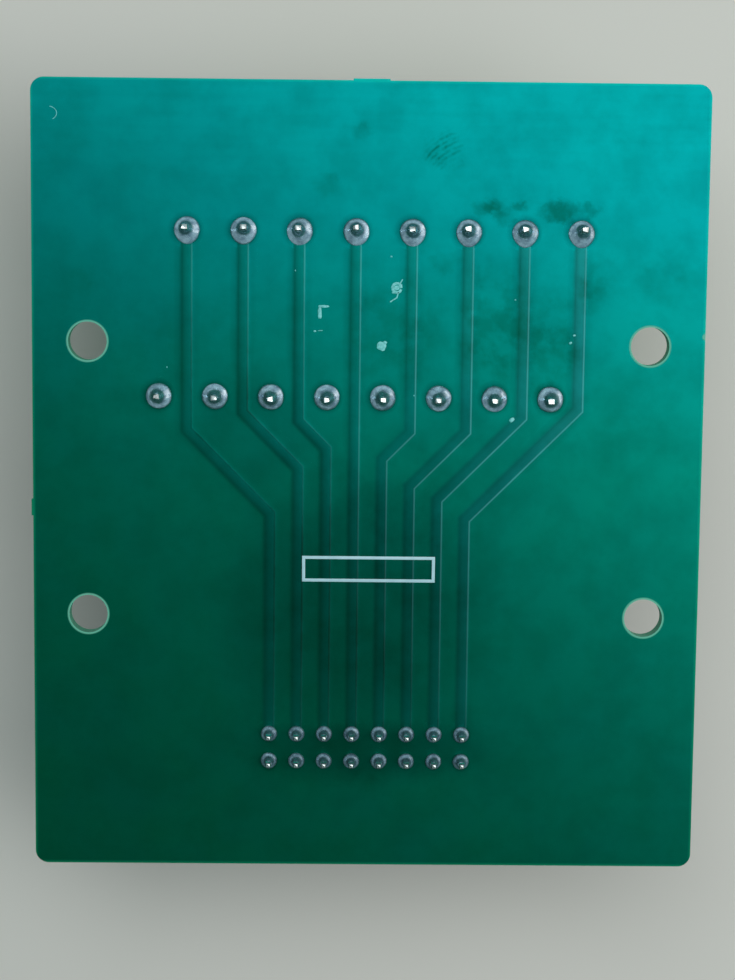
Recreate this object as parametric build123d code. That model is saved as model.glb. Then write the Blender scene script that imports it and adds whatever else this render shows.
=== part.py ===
from build123d import *
from math import atan2, cos, degrees, pi
import os

# Breakout board from a two-level screw terminal block to a ribbon cable header.
# Every function works with the component side up and z = 0 on that face of the board.
# The finished pieces are turned over at the end, to lie solder side up as the board is kept.

# Circuit board
board_w = 61.0
board_l = 72.0
board_t = 1.6
board_corner_r = 1.2
mount_dx = 51.0
mount_dy = 25.0
mount_hole_d = 3.5
stub_h = 0.15
end_stub_w = 3.3
side_stub_w = 1.5
side_stub_y = -2.7

# Copper tracks, raised by their own thickness
copper_t = 0.05
track_w = 1.0
neck_w = 0.4
back_bend_rise = 14.0
# Height of each solder-side track's lower bend over the header's near row
bend_rises = (20.1, 21.9, 23.1, 25.6, 26.0, 26.5, 24.7, 20.5)
columns = len(bend_rises)

# Terminal block: two decks, the rear one half a pitch over and raised
pitch = 5.08
stagger = 1.27
near_row_y = 7.6
far_row_y = 22.6
deck_rise = 12.0
deck_h = 11.5
module_columns = 2
module_gap = 0.04
screw_ahead = 3.2
front_ahead = 5.4
wall_behind = 3.4
deck_bevel_h = 2.2
deck_bevel_l = 1.2
groove_w = 0.9

# Dovetail that locks one module to the next
tongue_root = 1.4
tongue_tip = 2.0
tongue_depth = 0.7
tongue_fit = 0.05
far_tongue_y = 18.4
near_tongue_y = 5.7

# Rising clamp and the chamber it travels in
clamp_w = 3.9
clamp_l = 5.2
clamp_h = 5.5
clamp_z = 1.0
clamp_floor_t = 0.7
clamp_roof_t = 1.3
clamp_side_t = 0.55
clamp_side_gap = 0.1
clamp_end_gap = 0.15
clamp_travel = 2.4
travel_gap = 0.1

# Wire entry in the front wall
entry_w = 3.3
entry_h = 3.6
entry_z = 1.5
entry_flare = 0.3
entry_flare_l = 1.2

# Contact: a bar under the screw and a leg down through the board
bar_w = 2.5
bar_t = 0.8
bar_nose = 0.55
bar_gap = 0.1
leg_w = 1.0
leg_d = 0.8
leg_tail = 1.9
leg_slot_w = 2.8
leg_slot_gap = 0.1
leg_hole_d = 1.4

# Clamping screw
screw_r = 1.25
thread_gap = 0.08
screw_head_r = 1.85
screw_head_h = 1.55
head_gap = 0.1
screw_foot_gap = 0.05
screw_slot_w = 0.6
screw_slot_h = 0.8

# Ribbon cable header
pin_pitch = 2.54
header_y = -24.87
header_l = 39.6
header_w = 8.9
header_h = 9.2
header_bevel = 1.6
cavity_l = 23.2
cavity_w = 6.4
header_floor_t = 2.0
notch_w = 4.5
notch_z = 3.0
pin_w = 0.64
pin_taper = 0.15
pin_top_z = 8.3
pin_tail = 2.0
pin_gap = 0.03
pin_hole_d = 1.1

# Latches that hold and push out the plug
pivot_x = 14.6
pivot_z = 3.4
latch_t = 3.8
latch_side_gap = 0.2
latch_floor_gap = 0.2
latch_heel_r = 2.0
latch_toe = 4.2
latch_toe_t = 0.9
latch_inner = 1.4
latch_outer = 1.6
latch_top = 13.6
hook_z = 7.6
hook_reach = 1.5
grip_reach = 0.8
trunnion_r = 0.9
trunnion_l = 1.3
trunnion_gap = 0.07

# Solder joints on the board's solder side, each with a steep foot under a flatter cone
leg_joint_r = 1.17
leg_joint_mid_r = 1.02
leg_joint_top_r = 0.7
leg_joint_h = 1.3
pin_joint_r = 0.8
pin_joint_mid_r = 0.7
pin_joint_top_r = 0.5
pin_joint_h = 1.0
joint_foot_share = 0.45

# Sides of the many small outlines that stand in for circles, to keep the model light
hidden_sides = 8
joint_sides = 8
bore_sides = 16

# Values that follow from the driving ones
seat_z = copper_t
solder_z = -board_t - copper_t
deck_rises = (0.0, deck_rise)
pin_rows = (header_y + pin_pitch / 2, header_y - pin_pitch / 2)
tower_front_y = near_row_y + screw_ahead + front_ahead
tower_rear_y = near_row_y - wall_behind
far_front_y = far_row_y + screw_ahead + front_ahead
chamber_w = clamp_w + 2 * clamp_side_gap
chamber_l = clamp_l + 2 * clamp_end_gap
chamber_h = clamp_z + clamp_h + clamp_travel + travel_gap
bar_top_z = clamp_z + clamp_h - clamp_roof_t - bar_gap
screw_head_z = chamber_h + screw_foot_gap
slot_w = latch_t + 2 * latch_side_gap
slot_floor_z = pivot_z - latch_heel_r - latch_floor_gap


def block(x, width, y_range, z_range):
    """Upright box centred on x, between two values of y and two of z."""
    (y0, y1), (z0, z1) = y_range, z_range
    return Pos(x, (y0 + y1) / 2, (z0 + z1) / 2) * Box(width, y1 - y0, z1 - z0)


def spaced(count, step):
    """Positions of a row of points, centred on zero."""
    return [(i - (count - 1) / 2) * step for i in range(count)]


def far_x():
    """Columns of the terminal row at the board's end."""
    return [x - stagger for x in spaced(columns, pitch)]


def near_x():
    """Columns of the terminal row beside the tracks' bends."""
    return [x + stagger for x in spaced(columns, pitch)]


def header_x():
    """Columns of the header's pins."""
    return spaced(columns, pin_pitch)


def leg_places():
    """Where each terminal leg passes through the board."""
    return [(x, far_row_y) for x in far_x()] + [(x, near_row_y) for x in near_x()]


def pin_places():
    """Where each header pin passes through the board."""
    return [(x, y) for y in pin_rows for x in header_x()]


def mount_places():
    """Corners of the mounting hole pattern."""
    return [(sx * mount_dx / 2, sy * mount_dy / 2) for sx in (-1, 1) for sy in (-1, 1)]


def discs(places, radius):
    """One flat disc at each place."""
    return [Pos(x, y) * Circle(radius) for x, y in places]


def pin_holes(places, radius):
    """Outlines of drilled holes that the joints and the parts above them hide."""
    return [Pos(x, y) * RegularPolygon(radius, hidden_sides, major_radius=False) for x, y in places]


# Circuit board with its drilled holes and the stubs left where it was broken from its panel
def pcb():
    outline = RectangleRounded(board_w, board_l, board_corner_r)
    end_stub = Rectangle(end_stub_w, 2 * stub_h)
    side_stub = Rectangle(2 * stub_h, side_stub_w)
    outline += Pos(0, board_l / 2) * end_stub + Pos(board_w / 2, side_stub_y) * side_stub
    outline -= discs(mount_places(), mount_hole_d / 2)
    outline -= pin_holes(leg_places(), leg_hole_d / 2)
    outline -= pin_holes(pin_places(), pin_hole_d / 2)
    return extrude(outline, -board_t)


def stroke(points, width):
    """Flat band of one width along a centre line, mitred at its bends."""
    path = [Vector(x, y) for x, y in points]
    runs = [(end - start).normalized() for start, end in zip(path, path[1:])]
    edges = []
    for side in (1, -1):
        edge = []
        for before, point, after in zip(runs[:1] + runs, path, runs + runs[-1:]):
            mitre = Vector(-before.Y - after.Y, before.X + after.X).normalized()
            reach = width / 2 / mitre.dot(Vector(-after.Y, after.X))
            edge.append(point + mitre * reach * side)
        edges.append(edge)
    return make_face(Polyline(*edges[0], *reversed(edges[1]), close=True))


def route(start, end, bend_y):
    """Centre line that runs straight, crosses over at 45 degrees and runs straight again."""
    (x0, y0), (x1, y1) = start, end
    across = abs(x1 - x0)
    bends = [(x0, bend_y + across), (x1, bend_y)] if across > track_w / 100 else []
    return [(x0, y0), *bends, (x1, y1)]


# Tracks on the solder side, from the far terminal row to the header's near row
def solder_side_tracks():
    start_y, end_y = far_row_y - leg_joint_r, pin_rows[0] + pin_joint_r
    tracks = []
    for x, x_end, rise in zip(far_x(), header_x(), bend_rises):
        line = route((x, start_y), (x_end, end_y), pin_rows[0] + rise)
        tracks.append(extrude(Pos(0, 0, solder_z) * stroke(line, track_w), copper_t))
    return tracks


# Tracks on the component side, which pass between the header's pins to its far row
def component_side_tracks():
    half = pin_pitch / 2
    neck_y = pin_rows[0] + half
    short = pin_hole_d / 2
    tracks = []
    for x, x_end in zip(near_x(), header_x()):
        x_neck = x_end + half
        line = route((x, near_row_y - leg_hole_d / 2), (x_neck, neck_y), pin_rows[0] + back_bend_rise)
        neck = [(x_neck, neck_y), (x_neck, pin_rows[1] + half), (x_end + short, pin_rows[1] + short)]
        tracks.append(extrude(stroke(line, track_w) + stroke(neck, neck_w), copper_t))
    return tracks


def dovetail(x, y, height, fit):
    """Upright dovetail that points along x, a tongue with no fit and a groove with one."""
    root, tip, depth = tongue_root / 2 + fit, tongue_tip / 2 + fit, tongue_depth + fit
    outline = Polyline((x, y - root), (x + depth, y - tip), (x + depth, y + tip), (x, y + root), close=True)
    return extrude(make_face(outline), height)


def deck_body(x, rear_y, front_y, height):
    """Plain body of one deck of a module, with its front edge sloped off."""
    width = module_columns * pitch - module_gap
    side = Polyline(
        (rear_y, 0),
        (front_y, 0),
        (front_y, height - deck_bevel_h),
        (front_y - deck_bevel_l, height),
        (rear_y, height),
        close=True,
    )
    body = extrude(Plane.YZ * make_face(side), width / 2, both=True)
    return Pos(x, 0, 0) * body


def pole_cuts(x, row_y, rise):
    """What is hollow at one terminal: chamber, head bore, leg slot and wire entry."""
    axis_y = row_y + screw_ahead
    front_y = axis_y + front_ahead
    chamber = (axis_y - chamber_l / 2, axis_y + chamber_l / 2)
    rim = RegularPolygon(screw_head_r + head_gap, bore_sides, major_radius=False)
    bore = Pos(x, axis_y, rise + deck_h) * extrude(rim, chamber_h - deck_h)
    slot_y = (row_y - leg_d / 2 - leg_slot_gap, axis_y)
    entry = block(x, entry_w, (axis_y, front_y), (rise + entry_z, rise + entry_z + entry_h))
    mouth = Rectangle(entry_w + 2 * entry_flare, entry_h + 2 * entry_flare)
    face = Plane((x, front_y, rise + entry_z + entry_h / 2), x_dir=(1, 0, 0), z_dir=(0, -1, 0))
    flare = extrude(face * mouth, entry_flare_l, taper=degrees(atan2(entry_flare, entry_flare_l)))
    return [
        block(x, chamber_w, chamber, (0, rise + chamber_h)),
        bore,
        block(x, leg_slot_w, slot_y, (0, rise + bar_top_z + bar_gap)),
        entry,
        flare,
    ]


def pole_groove(x, front_y, height):
    """Cutters for the line that divides two poles, down the front and along the deck."""
    down = Pos(x, front_y, height / 2) * Rot(0, 0, 45) * Box(groove_w, groove_w, 2 * height)
    along = Pos(x, front_y, height) * Rot(0, 45, 0) * Box(groove_w, 2 * screw_ahead, groove_w)
    return [down, along]


# One moulded module of the terminal block, with its poles on both decks
def terminal_housing(module):
    first = module * module_columns
    own = slice(first, first + module_columns)
    low_xs, high_xs = far_x()[own], near_x()[own]
    low_x, high_x = sum(low_xs) / len(low_xs), sum(high_xs) / len(high_xs)
    half = (module_columns * pitch - module_gap) / 2
    body = deck_body(low_x, tower_front_y, far_front_y, deck_h)
    body += deck_body(high_x, tower_rear_y, tower_front_y, deck_rise + deck_h)
    body += dovetail(low_x + half, far_tongue_y, deck_h, 0)
    body += dovetail(high_x + half, near_tongue_y, deck_rise + deck_h, 0)
    cuts = [dovetail(low_x - half, far_tongue_y, deck_h, tongue_fit)]
    cuts += [dovetail(high_x - half, near_tongue_y, deck_rise + deck_h, tongue_fit)]
    for x in low_xs:
        cuts += pole_cuts(x, far_row_y, 0)
    for x in high_xs:
        cuts += pole_cuts(x, near_row_y, deck_rise)
    for x in low_xs[1:]:
        cuts += pole_groove(x - pitch / 2, far_front_y, deck_h)
    for x in high_xs[1:]:
        cuts += pole_groove(x - pitch / 2, tower_front_y, deck_rise + deck_h)
    return Pos(0, 0, seat_z) * (body - cuts)


def contact(x, row_y, rise):
    """One stamped contact, its bar under the screw and its leg through the board."""
    nose_y = row_y + screw_ahead + chamber_l / 2 + bar_nose
    bar_z = (rise + bar_top_z - bar_t, rise + bar_top_z)
    bar = block(x, bar_w, (row_y - leg_d / 2, nose_y), bar_z)
    tip_z = solder_z - leg_tail
    leg = block(x, leg_w, (row_y - leg_d / 2, row_y + leg_d / 2), (tip_z, bar_z[0]))
    return Pos(0, 0, seat_z) * (bar + leg)


def contacts(xs, row_y, rise):
    """The contacts of one deck."""
    return [contact(x, row_y, rise) for x in xs]


# Cage that the screw draws up, which presses the wire against the bar
def clamp(x, row_y, rise):
    axis_y = row_y + screw_ahead
    ends = (axis_y - clamp_l / 2, axis_y + clamp_l / 2)
    low, high = rise + clamp_z, rise + clamp_z + clamp_h
    cage = block(x, clamp_w, ends, (low, high))
    cage -= block(x, clamp_w - 2 * clamp_side_t, ends, (low + clamp_floor_t, high - clamp_roof_t))
    tapped = RegularPolygon(screw_r + thread_gap, hidden_sides, major_radius=False)
    cage -= Pos(x, axis_y, high) * extrude(tapped, -clamp_roof_t)
    return Pos(0, 0, seat_z) * cage


# Slotted screw, which turns in place over the bar
def screw(x, row_y, rise):
    foot_z = bar_top_z + screw_foot_gap
    shank = extrude(RegularPolygon(screw_r, hidden_sides), foot_z - screw_head_z)
    head = Cylinder(screw_head_r, screw_head_h, align=(Align.CENTER, Align.CENTER, Align.MIN))
    slot = Pos(0, 0, screw_head_h) * Box(2 * screw_head_r, screw_slot_w, 2 * screw_slot_h)
    return Pos(x, row_y + screw_ahead, seat_z + rise + screw_head_z) * (shank + head - slot)


# Header shell: floor, long walls, and the cheeks that hold the latches
def header_body():
    half = header_l / 2
    side = Polyline(
        (-half, 0),
        (half, 0),
        (half, header_h - header_bevel),
        (half - header_bevel, header_h),
        (header_bevel - half, header_h),
        (-half, header_h - header_bevel),
        close=True,
    )
    shell = extrude(Plane.XZ * make_face(side), header_w / 2, both=True)
    cuts = [block(0, cavity_l, (-cavity_w / 2, cavity_w / 2), (header_floor_t, header_h))]
    cuts += [block(0, notch_w, (-header_w / 2, 0), (notch_z, header_h))]
    slot_inner = pivot_x - latch_toe - latch_side_gap
    slot_l = half - slot_inner
    for end in (-1, 1):
        slot_x = end * (slot_inner + slot_l / 2)
        cuts += [block(slot_x, slot_l, (-slot_w / 2, slot_w / 2), (slot_floor_z, header_h))]
        pivot_hole = RegularPolygon(trunnion_r + trunnion_gap, bore_sides, major_radius=False)
        cuts += [extrude(Plane.XZ * Pos(end * pivot_x, pivot_z) * pivot_hole, header_w / 2, both=True)]
    hole_w = pin_w + 2 * pin_gap
    for x, y in pin_places():
        cuts += [Pos(x, y - header_y, 0) * Box(hole_w, hole_w, 3 * header_floor_t)]
    return Pos(0, header_y, seat_z) * (shell - cuts)


def header_pin():
    """Square pin, pointed at both ends."""
    low, high = solder_z - pin_tail, seat_z + pin_top_z
    pin = Pos(0, 0, (low + high) / 2) * Box(pin_w, pin_w, high - low)
    ends = pin.faces().sort_by(Axis.Z)
    return chamfer(ends[0].edges() + ends[-1].edges(), pin_taper)


def header_pins():
    """All the header's pins."""
    pin = header_pin()
    return [Pos(x, y, 0) * pin for x, y in pin_places()]


def latch(end):
    """Latch at one end of the header, upright as it holds a plug."""
    heel_x = latch_outer
    heel_z = -((latch_heel_r**2 - heel_x**2) ** 0.5)
    hook_x = -latch_inner - hook_reach
    inside = Polyline(
        (0, -latch_heel_r),
        (-latch_toe, -latch_heel_r),
        (-latch_toe, latch_toe_t - latch_heel_r),
        (-latch_inner, 2 * latch_toe_t - latch_heel_r),
        (-latch_inner, hook_z),
        (hook_x, hook_z),
        (hook_x, hook_z + latch_toe_t),
        (-latch_inner, hook_z + 2 * hook_reach + latch_toe_t),
        (grip_reach - latch_inner, latch_top),
        (latch_outer, latch_top),
        (latch_outer + grip_reach, latch_top - grip_reach),
        (latch_outer, latch_top - 3 * grip_reach),
        (heel_x, heel_z),
    )
    heel = RadiusArc((heel_x, heel_z), (0, -latch_heel_r), latch_heel_r)
    arm = extrude(Plane.XZ * make_face(inside.edges() + heel.edges()), latch_t / 2, both=True)
    arm += Cylinder(trunnion_r, slot_w + 2 * trunnion_l, rotation=(90, 0, 0))
    if end < 0:
        arm = mirror(arm, Plane.YZ)
    return Pos(end * pivot_x, header_y, seat_z + pivot_z) * arm


def cone(radius, top_radius, height):
    """Many-sided cone with its top cut off."""
    flat_share = cos(pi / joint_sides)
    lean = degrees(atan2((radius - top_radius) * flat_share, height))
    return extrude(RegularPolygon(radius, joint_sides), height, taper=lean)


def solder_joint(radii, height, pin):
    """Solder that swells round a pin and points down from the board."""
    foot_r, mid_r, top_r = radii
    foot_h = joint_foot_share * height
    joint = cone(foot_r, mid_r, foot_h) + Pos(0, 0, foot_h) * cone(mid_r, top_r, height - foot_h)
    return Rot(180, 0, 0) * (joint - Box(*pin, 3 * height))


# Joints round the terminal legs
def terminal_solder_joints():
    radii = (leg_joint_r, leg_joint_mid_r, leg_joint_top_r)
    joint = solder_joint(radii, leg_joint_h, (leg_w, leg_d))
    return [Pos(x, y, -board_t) * joint for x, y in leg_places()]


# Joints round the header pins
def header_solder_joints():
    radii = (pin_joint_r, pin_joint_mid_r, pin_joint_top_r)
    joint = solder_joint(radii, pin_joint_h, (pin_w, pin_w))
    return [Pos(x, y, -board_t) * joint for x, y in pin_places()]


def all_parts():
    """Every piece by name, component side up."""
    parts = {
        "pcb": pcb(),
        "solder_side_tracks": solder_side_tracks(),
        "component_side_tracks": component_side_tracks(),
        "terminal_solder_joints": terminal_solder_joints(),
        "header_solder_joints": header_solder_joints(),
        "lower_contacts": contacts(far_x(), far_row_y, deck_rises[0]),
        "upper_contacts": contacts(near_x(), near_row_y, deck_rises[1]),
        "header_body": header_body(),
        "header_pins": header_pins(),
        "latch_left": latch(1),
        "latch_right": latch(-1),
    }
    for module in range(columns // module_columns):
        parts[f"terminal_housing_{module + 1}"] = terminal_housing(module)
    decks = {"lower": (far_x(), far_row_y, deck_rises[0]), "upper": (near_x(), near_row_y, deck_rises[1])}
    for deck, (xs, row_y, rise) in decks.items():
        for number, x in enumerate(xs, 1):
            parts[f"{deck}_screw_{number}"] = screw(x, row_y, rise)
            parts[f"{deck}_clamp_{number}"] = clamp(x, row_y, rise)
    return parts


def turned_over(part):
    """A piece as it lies with the solder side up and that face of the board at z = 0."""
    solids = part if isinstance(part, list) else [part]
    placed = [Pos(0, 0, -board_t) * Rot(0, 180, 0) * solid for solid in solids]
    return placed[0] if len(placed) == 1 else Compound(children=placed)


os.makedirs("parts", exist_ok=True)
for name, part in all_parts().items():
    export_step(turned_over(part), f"parts/{name}.step")
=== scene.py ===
"""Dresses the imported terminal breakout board, solder side up, and lights it on a pale floor."""

import logging
import math
import random
from dataclasses import dataclass
from enum import Enum

import bmesh
import bpy
from mathutils import Matrix, Vector


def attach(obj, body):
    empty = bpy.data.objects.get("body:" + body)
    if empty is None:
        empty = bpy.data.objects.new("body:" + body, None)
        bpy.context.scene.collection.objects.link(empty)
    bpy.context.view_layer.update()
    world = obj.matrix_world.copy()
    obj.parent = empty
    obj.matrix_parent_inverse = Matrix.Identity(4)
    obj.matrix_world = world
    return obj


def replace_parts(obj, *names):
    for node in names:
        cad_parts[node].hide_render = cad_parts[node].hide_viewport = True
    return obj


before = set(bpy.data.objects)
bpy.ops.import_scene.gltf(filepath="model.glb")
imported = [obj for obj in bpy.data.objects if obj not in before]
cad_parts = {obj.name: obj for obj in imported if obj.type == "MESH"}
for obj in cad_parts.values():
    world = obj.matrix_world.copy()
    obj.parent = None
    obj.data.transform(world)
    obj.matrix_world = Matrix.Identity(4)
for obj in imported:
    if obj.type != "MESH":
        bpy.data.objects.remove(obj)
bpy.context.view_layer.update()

MM = 0.001
BOARD_BODY = "board"
MASK_LAYER = "mask_lay"
# Faces that meet at more than this keep a sharp edge between them
SHARP_ANGLE = math.radians(50)
# Solids' edges sharper than this are rounded off
ROUNDED_ANGLE = math.radians(40)
ROUNDED_SEGMENTS = 2
ROUNDED_PROFILE = 0.6
WELD_GAP = 0.001
# Height of the foot of what lies on the board's face, just under it
SUNK_FOOT = -0.005
# Corners of a square, as sides of its two axes
SQUARE = ((-1, -1), (1, -1), (1, 1), (-1, 1))
# Factors that scatter the burr at a snipped leg's corners: by the leg's place, the side in x and in y
BURR_PHASES = ((37.0, 2.1, 5.3), (29.0, 4.7, 1.3))
# Setting of a node that mixes two colours
COLOUR_MIX = {"data_type": "RGBA"}
# Range in which a noise's values mostly lie
NOISE_SPREAD = (0.35, 0.65)
LOG = logging.getLogger("breakout_board")

# Short names for the hints
Tree = bpy.types.NodeTree
Socket = bpy.types.NodeSocket
Material = bpy.types.Material
Item = bpy.types.Object
Mesh = bmesh.types.BMesh
Point = tuple[float, float]
Place = tuple[float, float, float]
Lip = tuple[float, float, Place]


def linear(hex_colour: str) -> tuple[float, float, float, float]:
    """Turns an sRGB hex colour into linear light.

    Args:
        hex_colour: Six hex digits, such as "0a6b52".

    Returns:
        Red, green and blue in linear light, and an alpha of one.
    """
    channels = [int(hex_colour[i:i + 2], 16) / 255 for i in (0, 2, 4)]
    light = [c / 12.92 if c <= 0.04045 else ((c + 0.055) / 1.055) ** 2.4 for c in channels]
    return (light[0], light[1], light[2], 1.0)


def add_node(
    tree: Tree,
    kind: str,
    settings: dict | None = None,
    links: dict | None = None,
) -> bpy.types.Node:
    """Adds one node with its settings and its incoming links.

    Args:
        tree: Tree that gets the node.
        kind: Blender's name for the kind of node.
        settings: Values by input name or number, or else by property name. A socket is linked.
        links: Output sockets by the name or number of the input that each feeds.

    Returns:
        The new node.
    """
    node = tree.nodes.new(kind)
    for name, value in (settings or {}).items():
        if isinstance(value, Socket):
            tree.links.new(value, node.inputs[name])
        elif isinstance(name, int) or name in node.inputs:
            node.inputs[name].default_value = value
        else:
            setattr(node, name, value)
    for name, output in (links or {}).items():
        tree.links.new(output, node.inputs[name])
    return node


def spaced(count: int, step: float) -> list[float]:
    """Positions of a row of points, centred on zero, in millimetres."""
    return [(i - (count - 1) / 2) * step for i in range(count)]


def new_piece(name: str, shape: Mesh, material: Material) -> Item:
    """Makes one piece from a mesh in millimetres and fixes it to the board.

    Args:
        name: Name of the piece.
        shape: Mesh in millimetres, in the row frame. It is freed here.
        material: Finish of the whole piece.

    Returns:
        The new object.
    """
    bmesh.ops.recalc_face_normals(shape, faces=shape.faces)
    mesh = bpy.data.meshes.new(name)
    shape.to_mesh(mesh)
    shape.free()
    mesh.transform(Matrix.Scale(MM, 4))
    mesh.set_sharp_from_angle(angle=SHARP_ANGLE)
    mesh.materials.append(material)
    piece = bpy.data.objects.new(name, mesh)
    bpy.context.scene.collection.objects.link(piece)
    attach(piece, BOARD_BODY)
    LOG.info("%s: %d faces", name, len(mesh.polygons))
    return piece


def paint(node: str, material: Material, edge: float = 0.0) -> None:
    """Gives a solid of the frame its finish and, where it is moulded or stamped, soft edges.

    Args:
        node: Name of the solid.
        material: Its finish.
        edge: Width of the rounding along its sharp edges, in millimetres.
    """
    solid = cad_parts[node]
    if edge > 0.0:
        weld = solid.modifiers.new("weld", "WELD")
        weld.merge_threshold = WELD_GAP * MM
        bevel = solid.modifiers.new("soft_edges", "BEVEL")
        bevel.width = edge * MM
        bevel.segments = ROUNDED_SEGMENTS
        bevel.limit_method = "ANGLE"
        bevel.angle_limit = ROUNDED_ANGLE
        bevel.harden_normals = True
    if not solid.material_slots:
        solid.data.materials.append(None)
    for holder in solid.material_slots:
        holder.material = material
    LOG.info("%s: %s", node, material.name)


def new_material(name: str) -> tuple[Material, Tree, bpy.types.Node]:
    """Starts a material that holds only its output.

    Args:
        name: Name of the material.

    Returns:
        The material, its node tree and its output node.
    """
    material = bpy.data.materials.new(name)
    material.use_nodes = True
    tree = material.node_tree
    tree.nodes.clear()
    return material, tree, add_node(tree, "ShaderNodeOutputMaterial")


class Backing(Enum):
    """What lies under the solder mask."""

    LAMINATE = "laminate"
    COPPER = "copper"


@dataclass(frozen=True)
class StainAndShadePatch:
    """Patch that darkens the mask, in millimetres; stains of flux or grease and zones of painted shade both
    use it.
    """

    x: float
    y: float
    half_width: float
    half_length: float
    strength: float


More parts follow.
